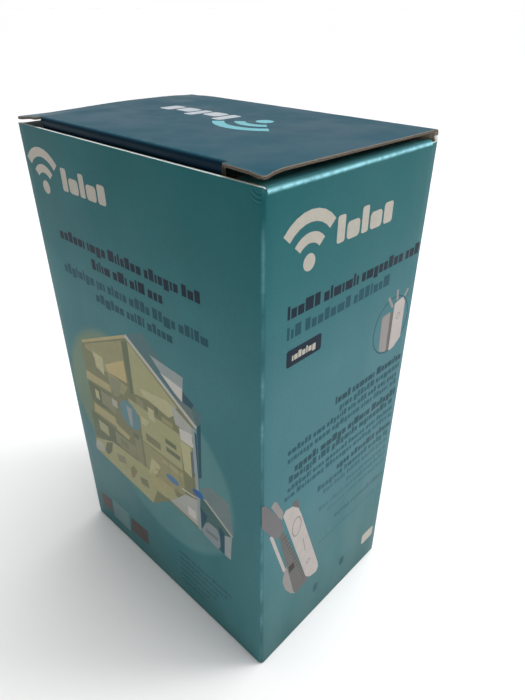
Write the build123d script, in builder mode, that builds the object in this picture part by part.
from build123d import *

import os
from math import cos, radians, sin, tan

os.makedirs("parts", exist_ok=True)

# ---------------------------------------------------------------- driving dimensions (mm)
# Carton: X across the front, Y front to back, Z up, origin under the middle of the base.
carton_width = 128.0
carton_depth = 86.6
carton_height = 208.3
board = 1.2                  # carton board thickness
board_gap = 0.3              # gap left at every crease that moves
corner_radius = 1.0          # outside radius of the folded vertical edges

# Lid, tuck tongue and dust flaps
rear_rise = 1.6              # the rear panel stands this much above the rim
lid_front_rise = 0.8         # the lid rests ajar by this much over its depth
lid_side_inset = 0.9
tongue_width = 97.0
tongue_length = 20.0
tongue_lean = 10.0           # degrees the tongue leans inwards
tongue_taper = 4.0
tongue_radius = 7.0
dust_flap_reach = 36.0
dust_flap_slope = 1.25       # rear taper, mm of depth for each mm of reach
dust_flap_hinge_inset = 3.0
dust_flap_shoulder = 14.0    # full-depth shoulder that the lid's slit locks on
dust_flap_notch = 5.2        # setback of the flap behind the tongue
dust_flap_radius = 6.0

# Extender, with X across its face, Y through its depth and Z along its length
body_width = 76.4
body_height = 163.0
lengthwise = body_height / 163.0    # antennas, plug and power board follow the body's length
body_radius = 14.0
front_depth = 12.0
band_depth = 20.0
rear_depth = 8.0
bulge_depth = 10.0
shell_wall = 2.0
body_front_clear = 10.3      # from the carton's front face to the extender's front face
foot_clear = 8.1             # from the carton's base to the foot of the extender
edge_round = 3.0

# Antennas
antenna_length = 60.0 * lengthwise
antenna_thickness = 6.5
antenna_width = 16.4
rear_antenna_width = 27.4
antenna_wall = 1.5
pivot_clear = 0.4
pin_radius = 1.5
pin_fit = 0.05               # radial running fit of a hinge pin

# Mains plug: two flat blades
blade_spacing = 12.7
blade_width = 6.35
blade_thickness = 1.5
blade_reach = 16.5
blade_hole_radius = 1.6
blade_tip_round = 1.4

# Ethernet socket
socket_width = 11.8
socket_height = 8.6
socket_depth = 13.0
jack_wall = 1.1

# Buttons
signal_button_radius = 7.0
side_button_radius = 2.5
reset_button_radius = 1.2
button_gap = 0.2
button_travel = 0.8
button_proud = 0.6
flange_extra = 1.0
flange_thick = 1.0

# Insert
insert_board = 1.2
insert_clear = 1.0
insert_height = 96.0
return_width = 6.5

# ---------------------------------------------------------------- derived places
half_width = carton_width / 2
half_depth = carton_depth / 2
inner_half_width = half_width - board
inner_half_depth = half_depth - board
rim = carton_height
rear_top = rim + rear_rise
lid_hinge_z = rear_top + board
flap_under = rim - board

body_bottom = foot_clear
body_middle = body_bottom + body_height / 2
body_top = body_bottom + body_height
half_body = body_width / 2
front_face = -half_depth + body_front_clear
band_front = front_face + front_depth
band_back = band_front + band_depth
rear_face = band_back + rear_depth
bulge_face = rear_face + bulge_depth
band_middle = (band_front + band_back) / 2

pivot_drop = antenna_length - antenna_thickness / 2
pivot_z = body_top - pivot_drop
pivot_x = half_body - antenna_thickness / 2
rear_pivot_y = rear_face - antenna_thickness / 2
notch_depth = antenna_thickness + pivot_clear
notch_floor = half_body - notch_depth
notch_bottom = pivot_z - antenna_thickness / 2 - pivot_clear
ear_gap = 0.3
notch_width = antenna_width + 2 * ear_gap
rear_notch_width = rear_antenna_width + 2 * ear_gap

bulge_width = 56.0
bulge_height = 78.0 * lengthwise
bulge_radius = 9.0
bulge_middle = body_bottom + 12.0 * lengthwise + bulge_height / 2
plug_z = bulge_middle - 6.0 * lengthwise

button_z = body_middle + 26.0
side_button_z = body_bottom + 34.0
reset_button_z = side_button_z - 14.0
jack_z = body_bottom + 21.0
side_button_y = band_middle + 2.0
pcb_thickness = 1.6
main_board_y = band_front + 4.0
jack_y = main_board_y + pcb_thickness + 0.1 + socket_width / 2 + jack_wall


def front_plane(y, z=0.0):
    """Plane at depth y that faces the front: sketch x is X, sketch y is Z."""
    return Plane(origin=(0, y, z), x_dir=(1, 0, 0), z_dir=(0, -1, 0))


def side_plane(x, z=0.0):
    """Plane at x that faces +X: sketch x is Y, sketch y is Z."""
    return Plane(origin=(x, 0, z), x_dir=(0, 1, 0), z_dir=(1, 0, 0))


def top_plane(z):
    """Level plane at height z: sketch x is X, sketch y is Y."""
    return Plane(origin=(0, 0, z), x_dir=(1, 0, 0), z_dir=(0, 0, 1))


def save(piece, name):
    """Label a finished piece and write its STEP file."""
    piece.part.label = name
    export_step(piece.part, f"parts/{name}.step")


# ---------------------------------------------------------------- carton walls
def carton_face(name, y_outer, facing, top):
    """Front or rear panel, with its outside vertical edges rounded."""
    with BuildPart() as panel:
        with BuildSketch(top_plane(0)):
            with Locations((0, y_outer - facing * board / 2)):
                Rectangle(carton_width, board)
        extrude(amount=top)
        upright = panel.edges().filter_by(Axis.Z)
        outer = upright.group_by(Axis.Y)[-1 if facing > 0 else 0]
        fillet(outer, radius=corner_radius)
    save(panel, name)


def carton_side(name, facing):
    """Left or right panel, between the front and rear panels."""
    with BuildPart() as panel:
        with BuildSketch(top_plane(0)):
            with Locations((facing * (half_width - board / 2), 0)):
                Rectangle(board, 2 * inner_half_depth)
        extrude(amount=flap_under - board_gap)
    save(panel, name)


carton_face("front_panel", -half_depth, -1, rim)
carton_face("back_panel", half_depth, 1, rear_top - board_gap)
carton_side("left_panel", -1)
carton_side("right_panel", 1)

# ---------------------------------------------------------------- glue flap and bottom flaps
glue_flap_width = 16.0
glue_flap_inset = 4.0
with BuildPart() as glue_flap:
    with BuildSketch(side_plane(-inner_half_width)):
        with BuildLine():
            Polyline(
                (inner_half_depth, glue_flap_inset),
                (inner_half_depth, rim - 2 * glue_flap_inset),
                (inner_half_depth - glue_flap_width, rim - 3 * glue_flap_inset),
                (inner_half_depth - glue_flap_width, 2 * glue_flap_inset),
                close=True,
            )
        make_face()
    extrude(amount=board)
save(glue_flap, "glue_flap")

bottom_flap_overlap = 30.0
with BuildPart() as bottom_outer_flap:
    with BuildSketch(top_plane(0)):
        Rectangle(2 * inner_half_width, 2 * inner_half_depth)
    extrude(amount=board)
save(bottom_outer_flap, "bottom_outer_flap")

with BuildPart() as bottom_inner_flap:
    with BuildSketch(top_plane(board)):
        flap_depth = inner_half_depth + bottom_flap_overlap
        with Locations((0, inner_half_depth - flap_depth / 2)):
            Rectangle(2 * inner_half_width - 2 * board, flap_depth)
    extrude(amount=board)
    front_corners = bottom_inner_flap.edges().filter_by(Axis.Z).group_by(Axis.Y)[0]
    fillet(front_corners, radius=tongue_radius)
save(bottom_inner_flap, "bottom_inner_flap")

bottom_dust_reach = 38.0
for side_name, side in (("left", -1), ("right", 1)):
    with BuildPart() as bottom_dust_flap:
        with BuildSketch(top_plane(2 * board)):
            with Locations((side * (inner_half_width - board - bottom_dust_reach / 2), 0)):
                Rectangle(bottom_dust_reach, 2 * inner_half_depth - 4 * board)
        extrude(amount=board)
        tips = bottom_dust_flap.edges().filter_by(Axis.Z).group_by(Axis.X)[0 if side > 0 else -1]
        chamfer(tips, length=tongue_radius)
    save(bottom_dust_flap, f"bottom_dust_flap_{side_name}")

# ---------------------------------------------------------------- lid and tuck tongue
tongue_face = -half_depth + board + board_gap
lid_slope = lid_front_rise / (half_depth - tongue_face)


def lid_top_at(y):
    """Height of the lid's top face at depth y."""
    return lid_hinge_z + (half_depth - y) * lid_slope


lid_half = half_width - lid_side_inset
lid_corner_front = -half_depth + 0.2
lean = radians(tongue_lean)
tongue_clear = tongue_face + board / cos(lean) + board * tan(lean) + board_gap
slit_gap = 0.5
with BuildPart() as lid_panel:
    with BuildSketch(side_plane(-lid_half)):
        with BuildLine():
            Polyline(
                (half_depth, lid_hinge_z),
                (half_depth, lid_hinge_z - board),
                (lid_corner_front, lid_top_at(lid_corner_front) - board),
                (lid_corner_front, lid_top_at(lid_corner_front)),
                close=True,
            )
        make_face()
    extrude(amount=2 * lid_half)
    with BuildSketch(top_plane(rim)):
        with Locations((0, (lid_corner_front + tongue_clear) / 2 - 1)):
            Rectangle(tongue_width + 2 * slit_gap, tongue_clear - lid_corner_front + 2)
    extrude(amount=2 * (lid_hinge_z - rim), mode=Mode.SUBTRACT)
save(lid_panel, "lid_panel")

tongue_crease_z = lid_top_at(tongue_face)
tongue_plane = Plane(
    origin=(0, tongue_face, tongue_crease_z),
    x_dir=(1, 0, 0),
    z_dir=(0, -cos(lean), -sin(lean)),
)
with BuildPart() as tuck_tongue:
    with BuildSketch(tongue_plane):
        with BuildLine():
            Polyline(
                (-tongue_width / 2, 0),
                (tongue_width / 2, 0),
                (tongue_width / 2 - tongue_taper, -tongue_length),
                (-tongue_width / 2 + tongue_taper, -tongue_length),
                close=True,
            )
        make_face()
    extrude(amount=-board)
    through_board = tuck_tongue.edges().filter_by(Axis((0, 0, 0), (0, cos(lean), sin(lean))))
    fillet(through_board.group_by(Axis.Z)[0], radius=tongue_radius)
save(tuck_tongue, "tuck_tongue")

# ---------------------------------------------------------------- top dust flaps
flap_front = -inner_half_depth + board_gap + 0.2
flap_rear = inner_half_depth - dust_flap_hinge_inset
for side_name, side in (("left", -1), ("right", 1)):
    tip_x = side * (half_width - dust_flap_reach)
    shoulder_x = side * (half_width - dust_flap_shoulder)
    rim_x = side * half_width
    with BuildPart() as dust_flap:
        with BuildSketch(top_plane(flap_under)):
            with BuildLine():
                Polyline(
                    (rim_x, flap_rear),
                    (rim_x, flap_front),
                    (shoulder_x, flap_front),
                    (shoulder_x, flap_front + dust_flap_notch),
                    (tip_x, flap_front + dust_flap_notch),
                    (tip_x, flap_rear - dust_flap_slope * dust_flap_reach),
                    close=True,
                )
            make_face()
        extrude(amount=board)
        tips = dust_flap.edges().filter_by(Axis.Z).group_by(Axis.X)[0 if side > 0 else -1]
        fillet(tips, radius=dust_flap_radius)
    save(dust_flap, f"dust_flap_{side_name}")

# ---------------------------------------------------------------- insert and leaflet
insert_floor_z = 3 * board + 0.2
insert_front_back = front_face - insert_clear
insert_side_x = half_body + insert_clear
insert_top = insert_floor_z + insert_height
with BuildPart() as insert_front:
    with BuildSketch(front_plane(insert_front_back, 0)):
        with BuildLine():
            Polyline(
                (-inner_half_width + board, insert_floor_z),
                (inner_half_width - 0.4, insert_floor_z),
                (inner_half_width - 0.4, insert_top),
                (-inner_half_width + board, insert_top),
                close=True,
            )
        make_face()
    extrude(amount=insert_board)
    thumb_notch = 18.0
    with BuildSketch(front_plane(insert_front_back, insert_top)):
        Circle(thumb_notch)
    extrude(amount=insert_board, mode=Mode.SUBTRACT)
save(insert_front, "insert_front")

insert_back = rear_face + insert_clear
for side_name, side in (("left", -1), ("right", 1)):
    with BuildPart() as insert_side:
        with BuildSketch(top_plane(insert_floor_z)):
            with Locations((side * (insert_side_x + insert_board / 2), (insert_front_back + insert_back) / 2)):
                Rectangle(insert_board, insert_back - insert_front_back)
        extrude(amount=insert_height)
    save(insert_side, f"insert_side_{side_name}")
    with BuildPart() as insert_return:
        with BuildSketch(top_plane(insert_floor_z)):
            with Locations((side * (insert_side_x + insert_board - return_width / 2), insert_back + insert_board / 2)):
                Rectangle(return_width, insert_board)
        extrude(amount=insert_height)
    save(insert_return, f"insert_return_{side_name}")

with BuildPart() as insert_floor:
    with BuildSketch(top_plane(body_bottom - 0.4 - insert_board)):
        with Locations((0, (insert_front_back + insert_back) / 2)):
            Rectangle(2 * insert_side_x, insert_back - insert_front_back)
    extrude(amount=insert_board)
save(insert_floor, "insert_floor")

guide_width = 105.0
guide_height = 148.0
guide_thickness = 1.6
guide_gap = 0.5
with BuildPart() as quick_guide:
    with BuildSketch(front_plane(insert_front_back - insert_board - guide_gap, insert_floor_z + guide_height / 2)):
        Rectangle(guide_width, guide_height)
    extrude(amount=guide_thickness)
save(quick_guide, "quick_guide")

# ---------------------------------------------------------------- extender front shell
indicator_count = 3
indicator_pitch = 9.0
indicator_width = 4.6
indicator_height = 1.6
indicator_z = button_z + 24.0
ring_outer = signal_button_radius + 3.2
ring_inner = signal_button_radius + button_gap
with BuildPart() as front_shell:
    with BuildSketch(front_plane(band_front, body_middle)):
        RectangleRounded(body_width, body_height, body_radius)
    extrude(amount=front_depth)
    fillet(front_shell.faces().sort_by(Axis.Y)[0].edges(), radius=edge_round)
    with BuildSketch(front_plane(band_front, body_middle)):
        RectangleRounded(body_width - 2 * shell_wall, body_height - 2 * shell_wall, body_radius - shell_wall)
    extrude(amount=front_depth - shell_wall, mode=Mode.SUBTRACT)
    with BuildSketch(front_plane(front_face + shell_wall, button_z)):
        Circle(ring_outer)
    extrude(amount=shell_wall, mode=Mode.SUBTRACT)
    with BuildSketch(front_plane(front_face + shell_wall, indicator_z)):
        with GridLocations(indicator_pitch, 1, indicator_count, 1):
            SlotOverall(indicator_width, indicator_height)
    extrude(amount=shell_wall, mode=Mode.SUBTRACT)
save(front_shell, "front_shell")

ring_thick = 1.6
with BuildPart() as light_ring:
    with BuildSketch(front_plane(front_face + ring_thick, button_z)):
        Circle(ring_outer)
        Circle(ring_inner, mode=Mode.SUBTRACT)
    extrude(amount=ring_thick)
save(light_ring, "light_ring")

with BuildPart() as status_light_lenses:
    with BuildSketch(front_plane(front_face + shell_wall, indicator_z)):
        with GridLocations(indicator_pitch, 1, indicator_count, 1):
            SlotOverall(indicator_width, indicator_height)
    extrude(amount=shell_wall)
save(status_light_lenses, "status_light_lenses")

# ---------------------------------------------------------------- ribbed middle band
rib_count = 22
rib_pitch = 4.4
rib_width = 1.2
rib_depth = 0.5
boss_radius = 3.5
screw_radius = 1.3
boss_length = 8.0
boss_points = [
    (-half_body + 6.2, -body_height / 2 + 7.5),
    (half_body - 6.2, -body_height / 2 + 7.5),
    (-22.0, body_height / 2 - 5.0),
    (22.0, body_height / 2 - 5.0),
]
ear_middle = band_middle + notch_width / 2
with BuildPart() as middle_band:
    with BuildSketch(front_plane(band_back, body_middle)) as band_outline:
        RectangleRounded(body_width, body_height, body_radius)
    extrude(amount=band_depth)
    with BuildSketch(front_plane(band_back, body_middle)):
        RectangleRounded(body_width - 2 * shell_wall, body_height - 2 * shell_wall, body_radius - shell_wall)
        for side in (-1, 1):
            block = body_width / 2 - notch_floor + shell_wall
            with Locations((side * (half_body - block / 2), (pivot_z - body_middle) + body_height / 4)):
                Rectangle(block, body_height / 2 + antenna_thickness + 2 * shell_wall, mode=Mode.SUBTRACT)
    extrude(amount=band_depth, mode=Mode.SUBTRACT)
    # screw bosses behind the band's corners
    with BuildSketch(front_plane(band_back, body_middle)):
        with Locations(*boss_points):
            Circle(boss_radius)
            Circle(screw_radius, mode=Mode.SUBTRACT)
    extrude(amount=boss_length)
    # side recesses that the folded antennas fill
    for side in (-1, 1):
        with BuildSketch(front_plane(ear_middle, 0)):
            with Locations((side * (notch_floor + body_width / 2), (notch_bottom + body_top + 1) / 2)):
                Rectangle(body_width, body_top + 1 - notch_bottom)
        extrude(amount=notch_width, mode=Mode.SUBTRACT)
    for side in (-1, 1):
        with BuildSketch(front_plane(band_back - 0.6, pivot_z)):
            with Locations((side * pivot_x, 0)):
                Circle(pin_radius)
        extrude(amount=band_depth - 1.2, mode=Mode.SUBTRACT)
    # raised ribs stay where shallow grooves are cut along both lower sides
    for side in (-1, 1):
        with BuildSketch(side_plane(side * half_body - (rib_depth if side > 0 else 0), body_bottom)):
            for rib in range(rib_count):
                rib_z = body_radius + 2 + rib * rib_pitch * 0.92
                in_jack = side < 0 and abs(rib_z + body_bottom - jack_z) < 10
                in_buttons = side > 0 and reset_button_z - 6 < rib_z + body_bottom < side_button_z + 7
                in_notch = rib_z + body_bottom > notch_bottom - 3
                if not (in_jack or in_buttons or in_notch):
                    with Locations((band_middle, rib_z)):
                        Rectangle(band_depth - 3, rib_width)
        extrude(amount=rib_depth, mode=Mode.SUBTRACT)
    # Ethernet socket opening on the left, power and reset buttons on the right
    with BuildSketch(side_plane(-half_body - 1, jack_z)):
        with Locations((jack_y, 0)):
            Rectangle(socket_width, socket_height)
    extrude(amount=shell_wall + 2, mode=Mode.SUBTRACT)
    for z, radius in ((side_button_z, side_button_radius), (reset_button_z, reset_button_radius)):
        with BuildSketch(side_plane(half_body - shell_wall - 1, z)):
            with Locations((side_button_y, 0)):
                Circle(radius + button_gap)
        extrude(amount=shell_wall + 2, mode=Mode.SUBTRACT)
save(middle_band, "middle_band")

# ---------------------------------------------------------------- rear shell with plug bulge
vent_count = 7
vent_pitch = 4.5
vent_width = 2.0
vent_length = 22.0
rear_wall = 1.1
with BuildPart() as rear_shell:
    with BuildSketch(front_plane(rear_face, body_middle)):
        RectangleRounded(body_width, body_height, body_radius)
    extrude(amount=rear_depth)
    fillet(rear_shell.faces().sort_by(Axis.Y)[-1].edges(), radius=edge_round)
    with BuildSketch(front_plane(bulge_face, bulge_middle)):
        RectangleRounded(bulge_width, bulge_height, bulge_radius)
    extrude(amount=bulge_depth)
    fillet(rear_shell.faces().sort_by(Axis.Y)[-1].edges(), radius=edge_round)
    with BuildSketch(front_plane(rear_face - shell_wall, body_middle)):
        RectangleRounded(body_width - 2 * shell_wall, body_height - 2 * shell_wall, body_radius - shell_wall)
        with Locations((0, body_height / 4 + (pivot_z - body_middle) / 1)):
            Rectangle(
                rear_notch_width + 2 * shell_wall,
                body_height / 2 + antenna_thickness + 2 * shell_wall + 2 * pivot_clear,
                mode=Mode.SUBTRACT,
            )
    extrude(amount=rear_depth - shell_wall, mode=Mode.SUBTRACT)
    with BuildSketch(front_plane(bulge_face - shell_wall, bulge_middle)):
        RectangleRounded(bulge_width - 2 * shell_wall, bulge_height - 2 * shell_wall, bulge_radius - shell_wall)
    extrude(amount=bulge_depth, mode=Mode.SUBTRACT)
    # upper recess that the folded rear antenna fills
    with BuildSketch(front_plane(rear_face + 1, 0)):
        with Locations((0, (notch_bottom + body_top + 1) / 2)):
            Rectangle(rear_notch_width, body_top + 1 - notch_bottom)
    extrude(amount=notch_depth + 1, mode=Mode.SUBTRACT)
    with BuildSketch(side_plane(-rear_notch_width / 2 - 1.5, pivot_z)):
        with Locations((rear_pivot_y, 0)):
            Circle(pin_radius)
    extrude(amount=rear_notch_width + 3, mode=Mode.SUBTRACT)
    # cooling slots on each side of the rear antenna
    for side in (-1, 1):
        with BuildSketch(front_plane(rear_face + 1, notch_bottom + 24.0)):
            with Locations((side * (rear_notch_width / 2 + 9.0), 0)):
                with GridLocations(1, vent_pitch, 1, vent_count):
                    SlotOverall(vent_length * 0.5, vent_width)
        extrude(amount=shell_wall + 2, mode=Mode.SUBTRACT)
    # screw posts and countersunk screw holes
    with BuildSketch(front_plane(rear_face - shell_wall / 2, body_middle)):
        with Locations(*boss_points):
            Circle(boss_radius)
    extrude(amount=rear_depth - shell_wall / 2)
    with BuildSketch(front_plane(rear_face + 1, body_middle)):
        with Locations(*boss_points):
            Circle(screw_radius)
    extrude(amount=rear_depth + 2, mode=Mode.SUBTRACT)
    with BuildSketch(front_plane(rear_face + 1, body_middle)):
        with Locations(*boss_points):
            Circle(2 * screw_radius)
    extrude(amount=3.0, mode=Mode.SUBTRACT)
    # slots for the plug blades
    with BuildSketch(front_plane(bulge_face + 1, plug_z)):
        with GridLocations(blade_spacing, 1, 2, 1):
            Rectangle(blade_thickness, blade_width)
    extrude(amount=shell_wall + 2, mode=Mode.SUBTRACT)
save(rear_shell, "rear_shell")

with BuildPart() as case_screws:
    with BuildSketch(front_plane(rear_face - 0.4, body_middle)):
        with Locations(*boss_points):
            Circle(2 * screw_radius - 0.1)
    extrude(amount=1.6)
    with BuildSketch(front_plane(rear_face - 2.0, body_middle)):
        with Locations(*boss_points):
            Circle(screw_radius)
    extrude(amount=12.0)
    with BuildSketch(front_plane(rear_face - 0.4, body_middle)):
        with Locations(*boss_points):
            Rectangle(2.8, 0.6)
            Rectangle(0.6, 2.8)
    extrude(amount=0.7, mode=Mode.SUBTRACT)
save(case_screws, "case_screws")

# ---------------------------------------------------------------- electronics
main_board_width = 54.0
main_board_height = body_height - 17.0
with BuildPart() as main_board:
    with BuildSketch(front_plane(main_board_y + pcb_thickness, body_middle)):
        RectangleRounded(main_board_width, main_board_height, 3)
    extrude(amount=pcb_thickness)
save(main_board, "main_board")

shield_height = 3.0
shield_pitch = 30.0
spreader_length = 2 * shield_pitch - 2
shield_z = button_z - ring_outer - 1.0 - spreader_length / 2
with BuildPart() as radio_shields:
    with BuildSketch(front_plane(main_board_y, shield_z)):
        with GridLocations(1, shield_pitch, 1, 2):
            RectangleRounded(38, shield_pitch - 4, 1)
    extrude(amount=shield_height)
save(radio_shields, "radio_shields")

with BuildPart() as heat_spreader:
    with BuildSketch(front_plane(main_board_y - shield_height, shield_z)):
        RectangleRounded(42, spreader_length, 2)
    extrude(amount=1.5)
    with BuildSketch(front_plane(main_board_y - shield_height - 1.5, shield_z)):
        with GridLocations(6, 1, 7, 1):
            Rectangle(1.2, spreader_length - 4)
    extrude(amount=2.5)
save(heat_spreader, "heat_spreader")

with BuildPart() as light_guide:
    with BuildSketch(front_plane(main_board_y - 0.3, button_z)):
        Circle(ring_outer)
        Circle(ring_outer - 1.2, mode=Mode.SUBTRACT)
    extrude(amount=main_board_y - 0.3 - (front_face + shell_wall))
save(light_guide, "light_guide")

power_board_y = band_back + 0.6
power_board_z = bulge_middle
with BuildPart() as power_board:
    with BuildSketch(front_plane(power_board_y + pcb_thickness, power_board_z)):
        RectangleRounded(50, bulge_height - 8.0, 2)
    extrude(amount=pcb_thickness)
save(power_board, "power_board")

component_back = bulge_face - shell_wall - 1.0
component_y = power_board_y + pcb_thickness
with BuildPart() as transformer:
    with BuildSketch(front_plane(component_back - 1.0, power_board_z + 20.0 * lengthwise)):
        with Locations((-8, 0)):
            RectangleRounded(22, 20.0 * lengthwise, 1)
    extrude(amount=component_back - 1.0 - component_y)
    with BuildSketch(front_plane(component_back, power_board_z + 20.0 * lengthwise)):
        with Locations((-8, 0)):
            RectangleRounded(12, 20.0 * lengthwise, 1)
    extrude(amount=1.0)
save(transformer, "transformer")

with BuildPart() as filter_coil:
    with BuildSketch(front_plane(component_back - 2.0, power_board_z - 26.0 * lengthwise)):
        with Locations((-12, 0)):
            Circle(7)
            Circle(3, mode=Mode.SUBTRACT)
    extrude(amount=component_back - 2.0 - component_y)
save(filter_coil, "filter_coil")

with BuildPart() as capacitors:
    with BuildSketch(front_plane(component_back - 0.5, power_board_z)):
        with Locations((14, 24.0 * lengthwise), (14, 11.0 * lengthwise)):
            Circle(5)
        with Locations((8, -27.0 * lengthwise), (17, -27.0 * lengthwise)):
            Circle(4)
    extrude(amount=component_back - 0.5 - component_y)
save(capacitors, "capacitors")

with BuildPart() as insulating_sheet:
    with BuildSketch(front_plane(power_board_y - 0.1, power_board_z)):
        RectangleRounded(54, bulge_height - 4.0, 2)
    extrude(amount=0.4)
save(insulating_sheet, "insulating_sheet")

holder_front = component_y
with BuildPart() as blade_holder:
    with BuildSketch(front_plane(bulge_face - shell_wall, plug_z)):
        RectangleRounded(26, 16, 2)
    extrude(amount=bulge_face - shell_wall - holder_front)
    with BuildSketch(front_plane(bulge_face - shell_wall, plug_z)):
        with GridLocations(blade_spacing, 1, 2, 1):
            Rectangle(blade_thickness, blade_width)
    extrude(amount=bulge_face - shell_wall - holder_front, mode=Mode.SUBTRACT)
save(blade_holder, "blade_holder")

blade_tip = bulge_face + blade_reach
with BuildPart() as plug_blades:
    with BuildSketch(front_plane(blade_tip, plug_z)):
        with GridLocations(blade_spacing, 1, 2, 1):
            Rectangle(blade_thickness, blade_width)
    extrude(amount=blade_tip - holder_front)
    chamfer(plug_blades.edges().filter_by(Axis.X).group_by(Axis.Y)[-1], length=blade_tip_round)
    with BuildSketch(side_plane(-blade_spacing, plug_z)):
        with Locations((blade_tip - 4.0, 0)):
            Circle(blade_hole_radius)
    extrude(amount=2 * blade_spacing, mode=Mode.SUBTRACT)
save(plug_blades, "plug_blades")

# ---------------------------------------------------------------- Ethernet socket
jack_outer_width = socket_width + 2 * jack_wall
jack_outer_height = socket_height + 2 * jack_wall + 2
jack_length = socket_depth + 2.0
jack_mouth = -half_body + shell_wall
with BuildPart() as ethernet_jack:
    with BuildSketch(side_plane(jack_mouth, jack_z)):
        with Locations((jack_y, 0)):
            Rectangle(jack_outer_width, jack_outer_height)
    extrude(amount=jack_length)
    with BuildSketch(side_plane(jack_mouth, jack_z)):
        with Locations((jack_y, 0)):
            Rectangle(socket_width, socket_height)
    extrude(amount=socket_depth, mode=Mode.SUBTRACT)
save(ethernet_jack, "ethernet_jack")

contact_count = 8
contact_pitch = 1.02
contact_width = 0.35
with BuildPart() as jack_contacts:
    for contact in range(contact_count):
        contact_y = jack_y + (contact - (contact_count - 1) / 2) * contact_pitch
        with BuildSketch(front_plane(contact_y + contact_width / 2, jack_z)):
            with BuildLine():
                Polyline(
                    (jack_mouth + 2.0, -socket_height / 2),
                    (jack_mouth + 2.6, -socket_height / 2),
                    (jack_mouth + socket_depth, -socket_height / 2 + 2.4),
                    (jack_mouth + socket_depth, -socket_height / 2 + 2.9),
                    close=True,
                )
            make_face()
        extrude(amount=contact_width)
save(jack_contacts, "jack_contacts")

# ---------------------------------------------------------------- antenna hinge pins
with BuildPart() as antenna_hinge_pins:
    for side in (-1, 1):
        with BuildSketch(front_plane(band_back - 0.6, pivot_z)):
            with Locations((side * pivot_x, 0)):
                Circle(pin_radius)
        extrude(amount=band_depth - 1.2)
    with BuildSketch(side_plane(-rear_notch_width / 2 - 1.5, pivot_z)):
        with Locations((rear_pivot_y, 0)):
            Circle(pin_radius)
    extrude(amount=rear_notch_width + 3)
save(antenna_hinge_pins, "antenna_hinge_pins")

# ---------------------------------------------------------------- side antennas
antenna_top_clear = 0.4
element_thick = 0.8
cavity_start = antenna_thickness / 2 + 3.0
cavity_end = pivot_drop - body_radius + 2.0
for side_name, side in (("left", -1), ("right", 1)):
    with BuildPart() as antenna_shell:
        with BuildSketch(front_plane(band_middle + antenna_width / 2, body_middle)):
            RectangleRounded(body_width, body_height, body_radius)
            with Locations((side * pivot_x, pivot_z - body_middle + pivot_drop / 2)):
                Rectangle(antenna_thickness, pivot_drop, mode=Mode.INTERSECT)
            with Locations((side * pivot_x, pivot_z - body_middle)):
                Circle(antenna_thickness / 2)
        extrude(amount=antenna_width)
        with BuildSketch(front_plane(band_middle + antenna_width / 2, pivot_z)):
            with Locations((side * pivot_x, 0)):
                Circle(pin_radius + pin_fit)
        extrude(amount=antenna_width, mode=Mode.SUBTRACT)
        with BuildSketch(front_plane(band_middle + antenna_width / 2 - antenna_wall, pivot_z)):
            with Locations((side * pivot_x, (cavity_start + cavity_end) / 2)):
                Rectangle(antenna_thickness - 2 * antenna_wall, cavity_end - cavity_start)
        extrude(amount=antenna_width - 2 * antenna_wall, mode=Mode.SUBTRACT)
    save(antenna_shell, f"antenna_{side_name}_shell")
    with BuildPart() as antenna_element:
        with BuildSketch(front_plane(band_middle + antenna_width / 2 - antenna_wall - 1.0, pivot_z)):
            with Locations((side * pivot_x, (cavity_start + cavity_end) / 2)):
                Rectangle(element_thick, cavity_end - cavity_start)
        extrude(amount=antenna_width - 2 * antenna_wall - 2.0)
    save(antenna_element, f"antenna_{side_name}_element")

# ---------------------------------------------------------------- rear antenna
with BuildPart() as antenna_rear_shell:
    with BuildSketch(side_plane(-rear_antenna_width / 2, pivot_z)):
        with Locations((rear_pivot_y, pivot_drop / 2)):
            Rectangle(antenna_thickness, pivot_drop)
        with Locations((rear_pivot_y, 0)):
            Circle(antenna_thickness / 2)
    extrude(amount=rear_antenna_width)
    fillet(antenna_rear_shell.edges().filter_by(Axis.X).group_by(Axis.Z)[-1].sort_by(Axis.Y)[-1], radius=edge_round)
    with BuildSketch(side_plane(-rear_antenna_width / 2, pivot_z)):
        with Locations((rear_pivot_y, 0)):
            Circle(pin_radius + pin_fit)
    extrude(amount=rear_antenna_width, mode=Mode.SUBTRACT)
    with BuildSketch(side_plane(-rear_antenna_width / 2 + antenna_wall, pivot_z)):
        with Locations((rear_pivot_y, (cavity_start + cavity_end) / 2)):
            Rectangle(antenna_thickness - 2 * antenna_wall, cavity_end - cavity_start)
    extrude(amount=rear_antenna_width - 2 * antenna_wall, mode=Mode.SUBTRACT)
save(antenna_rear_shell, "antenna_rear_shell")

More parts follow.
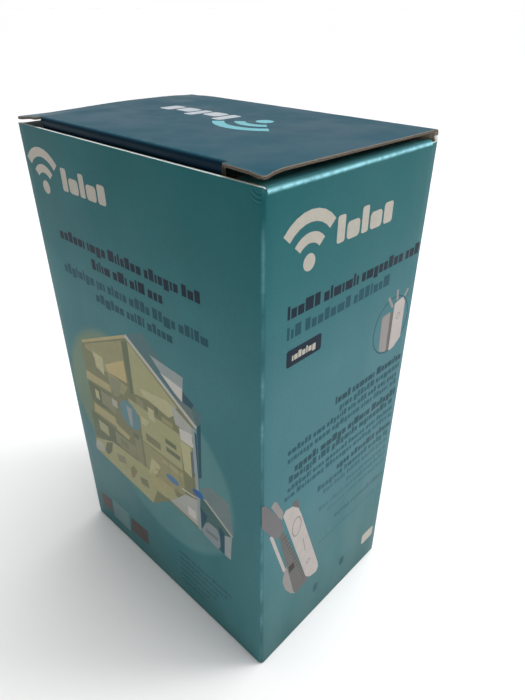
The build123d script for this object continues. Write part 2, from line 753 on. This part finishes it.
with BuildPart() as antenna_rear_element:
    with BuildSketch(side_plane(-rear_antenna_width / 2 + antenna_wall + 1.0, pivot_z)):
        with Locations((rear_pivot_y, (cavity_start + cavity_end) / 2)):
            Rectangle(element_thick, cavity_end - cavity_start)
    extrude(amount=rear_antenna_width - 2 * antenna_wall - 2.0)
save(antenna_rear_element, "antenna_rear_element")

# ---------------------------------------------------------------- buttons and their switches
signal_stem = 2.0
signal_back = main_board_y - 3.2
with BuildPart() as signal_button:
    with BuildSketch(front_plane(front_face + ring_thick + 1.4, button_z)):
        Circle(signal_button_radius)
    extrude(amount=ring_thick + 1.4 + button_proud)
    fillet(signal_button.faces().sort_by(Axis.Y)[0].edges(), radius=button_proud)
    with BuildSketch(front_plane(front_face + ring_thick + 0.4 + flange_thick, button_z)):
        Circle(signal_button_radius + flange_extra)
    extrude(amount=flange_thick)
    with BuildSketch(front_plane(signal_back, button_z)):
        Circle(signal_stem)
    extrude(amount=signal_back - (front_face + ring_thick + 0.4 + flange_thick))
save(signal_button, "signal_button")

side_stem_length = 6.0
for name, z, radius in (
    ("power_button", side_button_z, side_button_radius),
    ("reset_button", reset_button_z, reset_button_radius),
):
    proud = button_proud if name == "power_button" else -0.4
    with BuildPart() as side_button:
        with BuildSketch(side_plane(half_body - shell_wall - 0.3 - flange_thick, z)):
            with Locations((side_button_y, 0)):
                Circle(radius + flange_extra)
        extrude(amount=flange_thick)
        with BuildSketch(side_plane(half_body - shell_wall - side_stem_length, z)):
            with Locations((side_button_y, 0)):
                Circle(radius)
        extrude(amount=shell_wall + side_stem_length + proud)
    save(side_button, name)

tact_size = 5.0
tact_height = 1.6
with BuildPart() as tact_switches:
    with BuildSketch(front_plane(main_board_y, button_z)):
        Rectangle(tact_size, tact_size)
    extrude(amount=tact_height)
    for z in (side_button_z, reset_button_z):
        with BuildSketch(front_plane(side_button_y + tact_size / 2, z)):
            with Locations((half_body - shell_wall - side_stem_length - button_travel - 0.8 - tact_height / 2, 0)):
                Rectangle(tact_height, tact_size)
        extrude(amount=tact_size)
save(tact_switches, "tact_switches")
